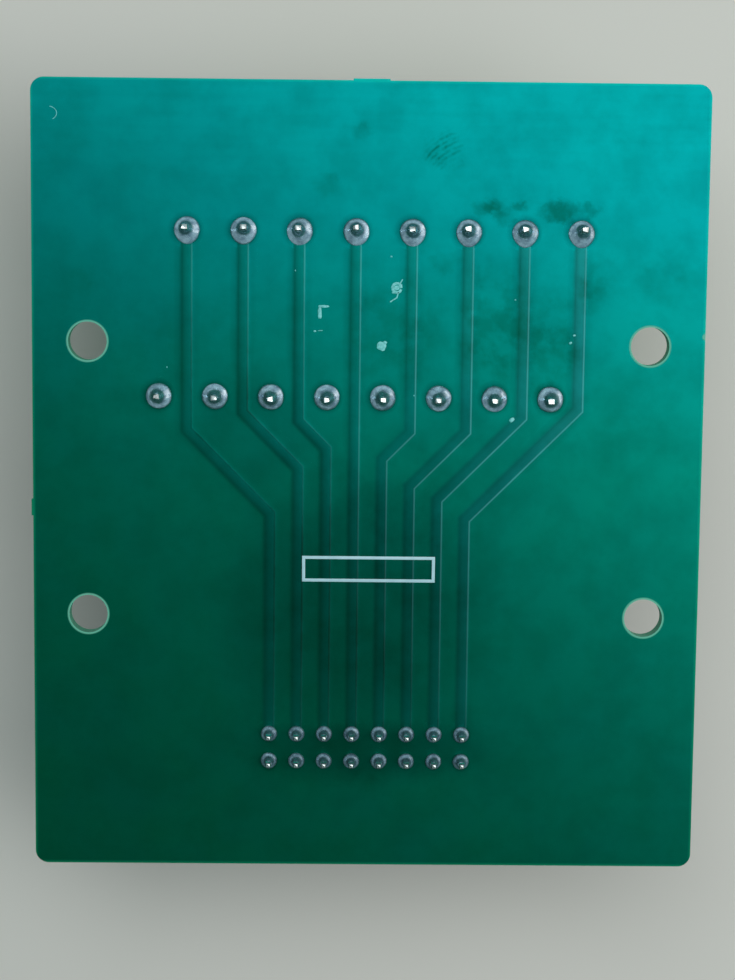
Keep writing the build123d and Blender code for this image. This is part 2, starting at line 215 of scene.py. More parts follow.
@dataclass(frozen=True)
class SolderMask:
    """Green epoxy solder mask, screened on and cured over glass-fibre laminate or copper.

    It is a smooth lacquer with a strong blue-green sheen over a dark green body. The sheen's tint is a
    painted reflection: bluer towards the far end, and paler over the copper on the right. It lies thick and
    dark beside the copper, where painted shade is laid on, as it is between the tracks, round the header
    and in a painted shadow ring round each joint. It is thin on the copper's shoulders, and those that face
    the lower right carry a pale painted highlight. Flux and fingers leave darker, duller patches on it.
    """

    over_laminate: str = "003213"
    over_laminate_thick: str = "00290e"
    over_copper: str = "01321e"
    over_copper_thick: str = "002a1a"
    # Pale colour of the painted highlight on the copper's shoulders, where the mask is thin
    shoulder_highlight: str = "70dcda"
    # Colour of the thick mask that pools beside the copper, also used for painted shade
    pool_and_shade_colour: str = "001d0f"
    stain_colour: str = "004022"
    edge_colour: str = "128052"
    laminate: str = "66a085"
    laminate_dark: str = "4c866a"
    # Tint of the sheen, graded along y from the near end to the far end: painted reflection
    painted_sheen_far: str = "08fffe"
    painted_sheen_near: str = "08fcdc"
    painted_sheen_y: Point = (0.0, 24.0)
    # Tint of the sheen over the copper, turning paler towards the right: painted reflection
    copper_tint: str = "0ef2e4"
    painted_sheen_right: str = "38f0ec"
    painted_sheen_x: Point = (2.0, 22.0)
    ior: float = 1.7
    roughness_low: float = 0.3
    roughness_high: float = 0.36
    dirt_roughness: float = 0.1
    bare_roughness: float = 0.3
    cloud_size: float = 9.0
    peel_size: float = 1.6
    peel_strength: float = 0.1
    peel_depth: float = 0.02
    film_size: float = 4.2
    film_spread: Point = (0.4, 0.64)
    streak_length: float = 14.0
    streak_width: float = 0.9
    streak_y: Point = (24.0, 33.0)
    gloss_clean: float = 1.0
    gloss_filmed: float = 0.82
    gloss_lost: float = 0.52
    pool_and_shade_lost: float = 0.4
    copper_lost: float = 0.14
    shoulder_lost: float = 0.45
    # Where the painted highlight lies: on shoulders that face this side, growing along this axis
    highlight_side: Place = (0.71, -0.71, 0.0)
    highlight_tilt: Point = (0.01, 0.09)
    highlight_share: Point = (0.03, 0.3)
    highlight_axis: Place = (1.0, 0.8, 0.0)
    highlight_span: Point = (-12.0, 14.0)
    pool_and_shade_share: float = 0.6
    streak_gain: float = 0.12
    edge_ply: float = 0.2
    half_x: float = 30.5
    half_y: float = 36.0
    edge_band: float = 0.3
    hole_x: float = 25.5
    hole_y: float = 12.5
    bare_ring_r: float = 1.91
    chip: Place = (30.55, 13.42, 0.32)
    stains: tuple[StainAndShadePatch, ...] = (
        StainAndShadePatch(6.6, 29.8, 1.75, 1.6, 1.0),
        StainAndShadePatch(-0.9, 31.6, 0.9, 0.8, 0.4),
        StainAndShadePatch(-3.7, 26.7, 1.7, 1.1, 0.32),
        StainAndShadePatch(6.8, 19.9, 1.6, 0.8, 0.3),
        StainAndShadePatch(10.6, 24.8, 1.5, 0.8, 0.9),
        StainAndShadePatch(12.1, 24.0, 1.1, 0.9, 0.85),
        StainAndShadePatch(13.2, 24.9, 0.8, 0.6, 0.6),
        StainAndShadePatch(17.0, 24.5, 1.9, 1.0, 0.85),
        StainAndShadePatch(19.8, 24.6, 1.1, 0.7, 0.5),
        StainAndShadePatch(11.5, 14.0, 3.6, 5.6, 0.7),
        StainAndShadePatch(2.0, 13.5, 5.0, 5.0, 0.5),
        StainAndShadePatch(16.6, 12.0, 2.6, 5.4, 0.65),
        StainAndShadePatch(20.6, 18.0, 1.8, 2.6, 0.55),
        StainAndShadePatch(27.0, 18.6, 2.6, 2.4, 0.28),
        StainAndShadePatch(-26.3, 17.6, 1.8, 1.7, 0.3),
        StainAndShadePatch(22.0, 5.0, 7.0, 5.0, 0.22),
        StainAndShadePatch(-17.0, 9.0, 9.0, 7.0, 0.3),
    )
    # Painted shade: zones of the mask darkened between the tracks, round the header and across the middle
    shades: tuple[StainAndShadePatch, ...] = (
        StainAndShadePatch(-1.0, -11.0, 12.5, 13.0, 1.0),
        StainAndShadePatch(0.0, -25.0, 11.5, 3.2, 1.0),
        StainAndShadePatch(-10.0, 4.0, 7.0, 7.0, 0.35),
        StainAndShadePatch(8.0, 2.0, 7.0, 6.0, 0.35),
    )
    print_x: float = 6.6
    print_y: float = 29.8
    whorl_offset: Point = (3.0, -4.5)
    ridge_spacing: float = 0.42
    ridge_depth: float = 0.7
    mottle_size: float = 0.5
    mottle_spread: Point = (0.35, 0.62)
    mottle_share: Point = (0.2, 1.0)
    blotch_size: float = 2.6
    blotch_spread: Point = (0.4, 0.58)
    blotch_share: Point = (0.3, 1.1)
    ragged_scale: float = 0.9
    ragged_reach: float = 1.3
    patch_fade: Point = (0.4, 1.3)
    feather: Point = (0.07, 0.05)

    def build(self, name: str, backing: Backing) -> Material:
        """Makes the mask's material.

        Args:
            name: Name of the material.
            backing: What lies under the mask.

        Returns:
            The material.
        """
        material, tree, output = new_material(name)
        place = add_node(tree, "ShaderNodeTexCoord").outputs["Object"]
        to_mm = {"Scale": (1 / MM,) * 3}
        mm = add_node(tree, "ShaderNodeMapping", to_mm, {"Vector": place}).outputs["Vector"]
        lay = add_node(tree, "ShaderNodeAttribute", {"attribute_name": MASK_LAYER}).outputs["Vector"]
        copper, pool_and_shade, thin = add_node(tree, "ShaderNodeSeparateXYZ", {}, {0: lay}).outputs
        noise = {"Scale": 1 / self.cloud_size, "Detail": 4.0, "Roughness": 0.6}
        cloud = add_node(tree, "ShaderNodeTexNoise", noise, {"Vector": mm}).outputs["Fac"]
        spread = {"From Min": NOISE_SPREAD[0], "From Max": NOISE_SPREAD[1]}
        share = add_node(tree, "ShaderNodeMapRange", spread, {"Value": cloud}).outputs["Result"]
        pair = {6: linear(self.over_laminate), 7: linear(self.over_laminate_thick)}
        layers = {**COLOUR_MIX, 0: share, **pair}
        colour = add_node(tree, "ShaderNodeMix", layers).outputs[2]
        # Painted reflection: the sheen's tint turns bluer towards the far end of the board
        down = self.along(tree, mm, (0.0, 1.0, 0.0), self.painted_sheen_y, (0.0, 1.0))
        layers = {**COLOUR_MIX, 0: down, 6: linear(self.painted_sheen_near), 7: linear(self.painted_sheen_far)}
        tint = add_node(tree, "ShaderNodeMix", layers).outputs[2]
        if backing is Backing.COPPER:
            pair = {6: linear(self.over_copper), 7: linear(self.over_copper_thick)}
            layers = {**COLOUR_MIX, 0: share, **pair}
            greyer = add_node(tree, "ShaderNodeMix", layers).outputs[2]
            layers = {**COLOUR_MIX, 0: copper, 6: colour, 7: greyer}
            colour = add_node(tree, "ShaderNodeMix", layers).outputs[2]
            # Painted reflection: over the copper the sheen's tint turns paler towards the right
            sheen_toward_right = self.along(tree, mm, (1.0, 0.0, 0.0), self.painted_sheen_x, (0.0, 1.0))
            layers = {**COLOUR_MIX, 0: sheen_toward_right, 6: linear(self.copper_tint), 7: linear(self.painted_sheen_right)}
            greyed = add_node(tree, "ShaderNodeMix", layers).outputs[2]
            layers = {**COLOUR_MIX, 0: copper, 6: tint, 7: greyed}
            tint = add_node(tree, "ShaderNodeMix", layers).outputs[2]
        layers = {**COLOUR_MIX, 0: self.edge(tree, mm), 6: colour, 7: linear(self.edge_colour)}
        colour = add_node(tree, "ShaderNodeMix", layers).outputs[2]
        dirt = self.patches(tree, mm, self.stains, self.blotch_size)
        layers = {**COLOUR_MIX, 0: dirt, 6: colour, 7: linear(self.stain_colour)}
        colour = add_node(tree, "ShaderNodeMix", layers).outputs[2]
        # Painted shade: the shaded zones join the pools of thick mask and the painted shadow rings round
        # the joints; together they darken the colour and dull the sheen
        shaded = self.patches(tree, mm, self.shades, 0.0)
        pool_and_shade = add_node(
            tree,
            "ShaderNodeMath",
            {"operation": "MAXIMUM"},
            {0: pool_and_shade, 1: shaded},
        ).outputs[0]
        part = {"operation": "MULTIPLY", 1: self.pool_and_shade_share}
        deep = add_node(tree, "ShaderNodeMath", part, {0: pool_and_shade}).outputs[0]
        layers = {**COLOUR_MIX, 0: deep, 6: colour, 7: linear(self.pool_and_shade_colour)}
        colour = add_node(tree, "ShaderNodeMix", layers).outputs[2]
        # Painted highlight: a pale line on the thin-masked shoulders that face the lower right, growing
        # towards the right and the far end
        worn = self.along(tree, mm, self.highlight_axis, self.highlight_span, self.highlight_share)
        tilt = add_node(tree, "ShaderNodeNewGeometry").outputs["Normal"]
        facing = self.along(tree, tilt, self.highlight_side, self.highlight_tilt, (0.0, 1.0))
        times = {"operation": "MULTIPLY"}
        for factor in (thin, facing):
            worn = add_node(tree, "ShaderNodeMath", times, {0: worn, 1: factor}).outputs[0]
        layers = {**COLOUR_MIX, 0: worn, 6: colour, 7: linear(self.shoulder_highlight)}
        colour = add_node(tree, "ShaderNodeMix", layers).outputs[2]
        bare = self.bare(tree, mm)
        layers = {**COLOUR_MIX, 0: bare, 6: colour, 7: self.laminate_cut(tree, mm)}
        colour = add_node(tree, "ShaderNodeMix", layers).outputs[2]
        dull = {"To Min": self.roughness_low, "To Max": self.roughness_high}
        rough = add_node(tree, "ShaderNodeMapRange", dull, {"Value": cloud}).outputs["Result"]
        for place, gain in ((dirt, self.dirt_roughness), (bare, self.bare_roughness)):
            rise = {"operation": "MULTIPLY_ADD", 1: gain}
            rough = add_node(tree, "ShaderNodeMath", rise, {0: place, 2: rough}).outputs[0]
        orange_peel = {"Scale": 1 / self.peel_size, "Detail": 2.0}
        peel = add_node(tree, "ShaderNodeTexNoise", orange_peel, {"Vector": mm})
        relief = {"Strength": self.peel_strength, "Distance": self.peel_depth * MM}
        bump = add_node(tree, "ShaderNodeBump", relief, {"Height": peel.outputs["Fac"]}).outputs["Normal"]
        spoiled = add_node(tree, "ShaderNodeMath", {"operation": "MAXIMUM"}, {0: dirt, 1: bare}).outputs[0]
        sheen = self.gloss(tree, mm)
        losses = (
            (spoiled, self.gloss_lost),
            (pool_and_shade, self.pool_and_shade_lost),
            (copper, self.copper_lost),
            (thin, self.shoulder_lost),
        )
        for place, lost in losses:
            fall = {"operation": "MULTIPLY_ADD", 1: -lost}
            sheen = add_node(tree, "ShaderNodeMath", fall, {0: place, 2: sheen}).outputs[0]
        surface = {"Base Color": colour, "Roughness": rough, "Normal": bump, "Specular IOR Level": sheen}
        surface["Specular Tint"] = tint
        shader = add_node(tree, "ShaderNodeBsdfPrincipled", {"IOR": self.ior}, surface)
        tree.links.new(shader.outputs["BSDF"], output.inputs["Surface"])
        return material

    def along(self, tree: Tree, source: Socket, axis: Place, limits: Point, values: Point) -> Socket:
        """Grades a value along one direction.

        Args:
            tree: Tree that gets the nodes.
            source: Vector whose length along the direction counts.
            axis: The direction.
            limits: Where the grading starts and ends.
            values: Value at its start and at its end.

        Returns:
            The graded value.
        """
        share = {"operation": "DOT_PRODUCT", 1: axis}
        length = add_node(tree, "ShaderNodeVectorMath", share, {0: source}).outputs["Value"]
        ends = {"From Min": limits[0], "From Max": limits[1], "To Min": values[0], "To Max": values[1]}
        return add_node(tree, "ShaderNodeMapRange", ends, {"Value": length}).outputs["Result"]

    def gloss(self, tree: Tree, mm: Socket) -> Socket:
        """Works out how strongly the lacquer shines, under a filmy haze and the streaks of a wipe.

        Args:
            tree: Tree that gets the nodes.
            mm: Place on the part in millimetres.

        Returns:
            The strength of the sheen.
        """
        haze = {"Scale": 1 / self.film_size, "Detail": 6.0, "Roughness": 0.62}
        film = add_node(tree, "ShaderNodeTexNoise", haze, {"Vector": mm})
        low, high = self.film_spread
        thin = {"From Min": low, "From Max": high, "To Min": self.gloss_clean, "To Max": self.gloss_filmed}
        shine = add_node(tree, "ShaderNodeMapRange", thin, {"Value": film.outputs["Fac"]}).outputs["Result"]
        stretch = {"Scale": (1 / self.streak_length, 1 / self.streak_width, 1.0)}
        drawn = add_node(tree, "ShaderNodeMapping", stretch, {"Vector": mm}).outputs["Vector"]
        strokes = {"Scale": 1.0, "Detail": 3.0, "Roughness": 0.5}
        wipe = add_node(tree, "ShaderNodeTexNoise", strokes, {"Vector": drawn}).outputs["Fac"]
        y = add_node(tree, "ShaderNodeSeparateXYZ", {}, {0: mm}).outputs["Y"]
        low, high = self.streak_y
        there = {"From Min": low, "From Max": high, "To Min": 0.0, "To Max": self.streak_gain * 2}
        gain = add_node(tree, "ShaderNodeMapRange", there, {"Value": y}).outputs["Result"]
        even = add_node(tree, "ShaderNodeMath", {"operation": "SUBTRACT", 1: 0.5}, {0: wipe}).outputs[0]
        streaked = add_node(
            tree,
            "ShaderNodeMath",
            {"operation": "MULTIPLY_ADD"},
            {0: even, 1: gain, 2: shine},
        )
        return streaked.outputs[0]

    def patches(self, tree: Tree, mm: Socket, stains: tuple[StainAndShadePatch, ...], blotch: float) -> Socket:
        """Adds a set of ragged patches, and breaks the finger mark among them up into ridges.

        Args:
            tree: Tree that gets the nodes.
            mm: Place on the part in millimetres.
            stains: The patches.
            blotch: Size of the blotches that they are broken up into, or zero for even ones.

        Returns:
            How far the mask is marked, from zero to one.
        """
        torn = {"Scale": self.ragged_scale, "Detail": 6.0, "Roughness": 0.7}
        ragged = add_node(tree, "ShaderNodeTexNoise", torn, {"Vector": mm})
        reach = self.ragged_reach
        centred = {"operation": "MULTIPLY_ADD", 1: (2 * reach,) * 3, 2: (-reach,) * 3}
        shift = add_node(tree, "ShaderNodeVectorMath", centred, {0: ragged.outputs["Color"]}).outputs[0]
        moved = add_node(tree, "ShaderNodeVectorMath", {"operation": "ADD"}, {0: mm, 1: shift}).outputs[0]
        total = None
        near_end, far_end = self.patch_fade
        fade = {"interpolation_type": "SMOOTHSTEP", "From Min": near_end, "From Max": far_end}
        for stain in stains:
            size = (1 / stain.half_width, 1 / stain.half_length, 0.0)
            centre = (-stain.x * size[0], -stain.y * size[1], 0.0)
            scaled = {"operation": "MULTIPLY_ADD", 1: size, 2: centre}
            near = add_node(tree, "ShaderNodeVectorMath", scaled, {0: moved}).outputs[0]
            away = add_node(
                tree,
                "ShaderNodeVectorMath",
                {"operation": "LENGTH"},
                {0: near},
            ).outputs["Value"]
            faded = {**fade, "To Min": stain.strength, "To Max": 0.0}
            patch = add_node(tree, "ShaderNodeMapRange", faded, {"Value": away}).outputs["Result"]
            if (stain.x, stain.y) == (self.print_x, self.print_y):
                patch = self.ridges(tree, mm, patch)
            if total is None:
                total = patch
            else:
                higher = add_node(tree, "ShaderNodeMath", {"operation": "MAXIMUM"}, {0: total, 1: patch})
                total = higher.outputs[0]
        if blotch == 0.0:
            return total
        blots = {"Scale": 1 / blotch, "Detail": 4.0, "Roughness": 0.62}
        cells = add_node(tree, "ShaderNodeTexNoise", blots, {"Vector": mm}).outputs["Fac"]
        (low, high), (least, most) = self.blotch_spread, self.blotch_share
        uneven = {"From Min": low, "From Max": high, "To Min": least, "To Max": most}
        broken = add_node(tree, "ShaderNodeMapRange", uneven, {"Value": cells}).outputs["Result"]
        return add_node(tree, "ShaderNodeMath", {"operation": "MULTIPLY"}, {0: total, 1: broken}).outputs[0]

    def ridges(self, tree: Tree, mm: Socket, patch: Socket) -> Socket:
        """Breaks one stain up into the dotted ridges of a finger mark.

        Args:
            tree: Tree that gets the nodes.
            mm: Place on the part in millimetres.
            patch: How far the mask is stained there.

        Returns:
            The stain with the ridges cut out of it.
        """
        bands = {
            "wave_type": "RINGS",
            "rings_direction": "Z",
            "Scale": math.pi / 10 / self.ridge_spacing,
            "Distortion": 2.2,
            "Detail": 2.0,
            "Detail Scale": 1.2,
        }
        side, down = self.whorl_offset
        around = {"Location": (-self.print_x - side, -self.print_y - down, 0.0)}
        centred = add_node(tree, "ShaderNodeMapping", around, {"Vector": mm}).outputs["Vector"]
        rings = add_node(tree, "ShaderNodeTexWave", bands, {"Vector": centred}).outputs["Fac"]
        sweat = {"Scale": 1 / self.mottle_size, "Detail": 2.0}
        mottle = add_node(tree, "ShaderNodeTexNoise", sweat, {"Vector": mm}).outputs["Fac"]
        (low, high), (least, most) = self.mottle_spread, self.mottle_share
        dotted = {"From Min": low, "From Max": high, "To Min": least, "To Max": most}
        dots = add_node(tree, "ShaderNodeMapRange", dotted, {"Value": mottle}).outputs["Result"]
        broken = {"operation": "MULTIPLY_ADD", 1: self.ridge_depth, 2: 1 - self.ridge_depth}
        lines = add_node(tree, "ShaderNodeMath", broken, {0: rings}).outputs[0]
        for factor in (dots, patch):
            lines = add_node(
                tree,
                "ShaderNodeMath",
                {"operation": "MULTIPLY"},
                {0: lines, 1: factor},
            ).outputs[0]
        return lines

    def edge(self, tree: Tree, mm: Socket) -> Socket:
        """Finds the narrow band along the outline where the mask thins out.

        Args:
            tree: Tree that gets the nodes.
            mm: Place on the part in millimetres.

        Returns:
            How thin the mask is, from zero to one half.
        """
        folded = add_node(tree, "ShaderNodeVectorMath", {"operation": "ABSOLUTE"}, {0: mm}).outputs[0]
        to_edge = {"operation": "SUBTRACT", 1: (self.half_x, self.half_y, 0.0)}
        beyond = add_node(tree, "ShaderNodeVectorMath", to_edge, {0: folded}).outputs[0]
        x, y, _ = add_node(tree, "ShaderNodeSeparateXYZ", {}, {0: beyond}).outputs
        nearest = add_node(tree, "ShaderNodeMath", {"operation": "MAXIMUM"}, {0: x, 1: y}).outputs[0]
        limits = {"From Min": -self.edge_band, "From Max": 0.0, "To Min": 0.0, "To Max": 0.5}
        fade = {"interpolation_type": "SMOOTHSTEP", **limits}
        return add_node(tree, "ShaderNodeMapRange", fade, {"Value": nearest}).outputs["Result"]

    def bare(self, tree: Tree, mm: Socket) -> Socket:
        """Finds where no mask was laid: the cut edges, a ring round each hole and one chipped spot.

        Args:
            tree: Tree that gets the nodes.
            mm: Place on the part in millimetres.

        Returns:
            One on bare laminate and zero on mask.
        """
        normal = add_node(tree, "ShaderNodeNewGeometry").outputs["True Normal"]
        upright = add_node(tree, "ShaderNodeSeparateXYZ", {}, {0: normal}).outputs["Z"]
        level = add_node(tree, "ShaderNodeMath", {"operation": "ABSOLUTE"}, {0: upright}).outputs[0]
        cut = add_node(tree, "ShaderNodeMath", {"operation": "LESS_THAN", 1: 0.5}, {0: level}).outputs[0]
        folded = add_node(tree, "ShaderNodeVectorMath", {"operation": "ABSOLUTE"}, {0: mm}).outputs[0]
        ring = (self.hole_x, self.hole_y, self.bare_ring_r)
        for source, (x, y, radius) in ((folded, ring), (mm, self.chip)):
            flat = {"operation": "MULTIPLY_ADD", 1: (1.0, 1.0, 0.0), 2: (-x, -y, 0.0)}
            offset = add_node(tree, "ShaderNodeVectorMath", flat, {0: source}).outputs[0]
            away = add_node(
                tree,
                "ShaderNodeVectorMath",
                {"operation": "LENGTH"},
                {0: offset},
            ).outputs["Value"]
            inner, outer = radius - self.feather[0], radius + self.feather[1]
            soft = {"From Min": inner, "From Max": outer, "To Min": 1.0, "To Max": 0.0}
            spot = add_node(tree, "ShaderNodeMapRange", soft, {"Value": away}).outputs["Result"]
            cut = add_node(tree, "ShaderNodeMath", {"operation": "MAXIMUM"}, {0: cut, 1: spot}).outputs[0]
        return cut

    def laminate_cut(self, tree: Tree, mm: Socket) -> Socket:
        """Colours the laminate where it is cut, in the plies of its glass cloth.

        Args:
            tree: Tree that gets the nodes.
            mm: Place on the part in millimetres.

        Returns:
            The colour of the cut laminate.
        """
        plies = {
            "wave_type": "BANDS",
            "bands_direction": "Z",
            "Scale": math.pi / 10 / self.edge_ply,
            "Distortion": 0.8,
        }
        bands = add_node(tree, "ShaderNodeTexWave", plies, {"Vector": mm}).outputs["Fac"]
        layers = {**COLOUR_MIX, 0: bands, 6: linear(self.laminate), 7: linear(self.laminate_dark)}
        return add_node(tree, "ShaderNodeMix", layers).outputs[2]


@dataclass(frozen=True)
class Metal:
    """Bare or plated metal whose grain, polish and tarnish vary in patches of a real size."""

    bright: str
    dull: str
    roughness_low: float
    roughness_high: float
    patch_size: float
    dent_size: float
    dent_depth: float
    dent_strength: float = 0.5

    def build(self, name: str) -> Material:
        """Makes the metal's material.

        Args:
            name: Name of the material.

        Returns:
            The material.
        """
        material, tree, output = new_material(name)
        place = add_node(tree, "ShaderNodeTexCoord").outputs["Object"]
        to_mm = {"Scale": (1 / MM,) * 3}
        mm = add_node(tree, "ShaderNodeMapping", to_mm, {"Vector": place}).outputs["Vector"]
        noise = {"Scale": 1 / self.patch_size, "Detail": 4.0, "Roughness": 0.6}
        patches = add_node(tree, "ShaderNodeTexNoise", noise, {"Vector": mm}).outputs["Fac"]
        spread = {"From Min": NOISE_SPREAD[0], "From Max": NOISE_SPREAD[1]}
        share = add_node(tree, "ShaderNodeMapRange", spread, {"Value": patches}).outputs["Result"]
        pair = {**COLOUR_MIX, 6: linear(self.bright), 7: linear(self.dull)}
        colour = add_node(tree, "ShaderNodeMix", pair, {0: share}).outputs[2]
        polish = {"To Min": self.roughness_low, "To Max": self.roughness_high}
        rough = add_node(tree, "ShaderNodeMapRange", polish, {"Value": share}).outputs["Result"]
        hollows = {"Scale": 1 / self.dent_size, "Detail": 3.0}
        dents = add_node(tree, "ShaderNodeTexNoise", hollows, {"Vector": mm})
        relief = {"Strength": self.dent_strength, "Distance": self.dent_depth * MM}
        bump = add_node(tree, "ShaderNodeBump", relief, {"Height": dents.outputs["Fac"]}).outputs["Normal"]
        surface = {"Base Color": colour, "Roughness": rough, "Normal": bump}
        shader = add_node(tree, "ShaderNodeBsdfPrincipled", {"Metallic": 1.0}, surface)
        tree.links.new(shader.outputs["BSDF"], output.inputs["Surface"])
        return material


# Tin-lead solder that set bright from the iron: wet-looking, with dull frosted patches
SOLDER = Metal("d4e6ee", "94aab8", 0.18, 0.36, 0.5, 0.3, 0.07)
# A darker, duller copy of the same solder, used on the header's joints
DARKER_SOLDER = Metal("aabcc6", "6c818c", 0.34, 0.52, 0.45, 0.3, 0.08)
# Tin plate on stamped brass: pale and soft-edged in its reflections
TIN_PLATE = Metal("dddcd6", "b9b8b2", 0.2, 0.36, 0.8, 0.4, 0.01)
# Zinc plate on turned steel: cool grey with a fine frosting
ZINC_PLATE = Metal("c9ced2", "a3a9ae", 0.24, 0.42, 0.7, 0.25, 0.01)
# Nickel plate on folded brass: warmer and cleaner than the zinc
NICKEL_PLATE = Metal("cfc9bc", "aea796", 0.2, 0.34, 1.2, 0.4, 0.008)


@dataclass(frozen=True)
class Resin:
    """Plastic, ink or rosin: cloudy in its colour and gloss, with a fine grain on its skin."""

    colour: str
    worn: str
    roughness_low: float
    roughness_high: float
    ior: float
    cloud_size: float
    grain_size: float
    grain_depth: float
    grain_strength: float = 0.35

    def build(self, name: str) -> Material:
        """Makes the resin's material.

        Args:
            name: Name of the material.

        Returns:
            The material.
        """
        material, tree, output = new_material(name)
        place = add_node(tree, "ShaderNodeTexCoord").outputs["Object"]
        to_mm = {"Scale": (1 / MM,) * 3}
        mm = add_node(tree, "ShaderNodeMapping", to_mm, {"Vector": place}).outputs["Vector"]
        clouds = {"Scale": 1 / self.cloud_size, "Detail": 3.0}
        flow = add_node(tree, "ShaderNodeTexNoise", clouds, {"Vector": mm}).outputs["Fac"]
        pair = {**COLOUR_MIX, 6: linear(self.colour), 7: linear(self.worn)}
        colour = add_node(tree, "ShaderNodeMix", pair, {0: flow}).outputs[2]
        sheen = {"To Min": self.roughness_low, "To Max": self.roughness_high}
        rough = add_node(tree, "ShaderNodeMapRange", sheen, {"Value": flow}).outputs["Result"]
        sparks = {"Scale": 1 / self.grain_size, "Detail": 2.0}
        grain = add_node(tree, "ShaderNodeTexNoise", sparks, {"Vector": mm})
        relief = {"Strength": self.grain_strength, "Distance": self.grain_depth * MM}
        bump = add_node(tree, "ShaderNodeBump", relief, {"Height": grain.outputs["Fac"]}).outputs["Normal"]
        surface = {"Base Color": colour, "Roughness": rough, "Normal": bump}
        shader = add_node(tree, "ShaderNodeBsdfPrincipled", {"IOR": self.ior}, surface)
        tree.links.new(shader.outputs["BSDF"], output.inputs["Surface"])
        return material


# Polyamide 66: a satin green with a soft skin
GREEN_POLYAMIDE = Resin("1f8a4c", "2f9558", 0.38, 0.5, 1.53, 4.5, 0.3, 0.012)
# Glass-filled polyester: a dry black that shows its fibres as a fine haze
BLACK_POLYESTER = Resin("17181a", "26282a", 0.42, 0.58, 1.57, 4.5, 0.22, 0.015)
# Black polyamide: slightly smoother than the shell, so that the latches stand out from it
BLACK_POLYAMIDE = Resin("1d1f22", "2c2e31", 0.32, 0.44, 1.53, 4.5, 0.3, 0.01)
# Screened epoxy ink: a flat, slightly blue off-white with a rough top
LEGEND_INK = Resin("b4cccf", "8fb2b4", 0.5, 0.62, 1.5, 0.9, 0.2, 0.006)
# Rosin flux dried by itself: a milky pale green crust that thins to a dark, half clear film
DRIED_FLUX = Resin("8cdcd4", "0c8078", 0.35, 0.6, 1.5, 0.22, 0.25, 0.03)


def plain(profile: list[Point]) -> list[Lip]:
    """Gives each point of a profile the look of unmarked mask."""
    return [(across, height, (0.0, 0.0, 0.0)) for across, height in profile]


def bridge(shape: Mesh, rings: list[list[bmesh.types.BMVert]], smooth: bool = False) -> None:
    """Joins each ring of points to the next with a band of faces.

    Args:
        shape: Mesh that holds the points.
        rings: Rings with the same number of points.
        smooth: Whether the faces are shaded as one smooth surface.
    """
    count = len(rings[0])
    for lower, upper in zip(rings, rings[1:]):
        for i in range(count):
            j = (i + 1) % count
            shape.faces.new((lower[i], lower[j], upper[j], upper[i])).smooth = smooth


def soften(shape: Mesh, width: float, angle: float) -> None:
    """Rounds the edges of stamped or drawn metal that are sharper than an angle.

    Args:
        shape: Mesh whose edges are rounded, in millimetres.
        width: How wide the rounding is.
        angle: Angle between two faces, in radians.
    """
    joined = [edge for edge in shape.edges if len(edge.link_faces) == 2]
    bmesh.ops.bevel(
        shape,
        geom=[edge for edge in joined if edge.calc_face_angle() > angle],
        offset=width,
        segments=ROUNDED_SEGMENTS,
        affect="EDGES",
        profile=ROUNDED_PROFILE,
    )


def mask_layer(shape: Mesh) -> bmesh.types.BMLayerItem:
    """Finds or makes the mesh's layer that says how the mask lies: over copper, thick where it pools with
    painted shade, and thin on shoulders with a painted highlight.
    """
    layers = shape.verts.layers.float_vector
    return layers.get(MASK_LAYER) or layers.new(MASK_LAYER)


def sweep(shape: Mesh, path: list[Point], profile: list[Lip]) -> None:
    """Draws a closed profile along a flat line and caps its ends.

    Args:
        shape: Mesh that gets the swept solid, in millimetres.
        path: Centre line, in x and y.
        profile: Closed outline of the section: offset across the line, height, and how the mask lies there.
    """
    lay = mask_layer(shape)
    points = [Vector(p) for p in path]
    runs = [(b - a).normalized() for a, b in zip(points, points[1:])]
    rings = []
    for before, point, after in zip(runs[:1] + runs, points, runs + runs[-1:]):
        mitre = Vector((-before.y - after.y, before.x + after.x)).normalized()
        reach = 1 / max(mitre.dot(Vector((-after.y, after.x))), 0.3)
        ring = []
        for across, height, look in profile:
            vertex = shape.verts.new((*(point + mitre * reach * across), height))
            vertex[lay] = look
            ring.append(vertex)
        rings.append(ring)
    bridge(shape, rings, smooth=True)
    shape.faces.new(rings[0])
    shape.faces.new(reversed(rings[-1]))


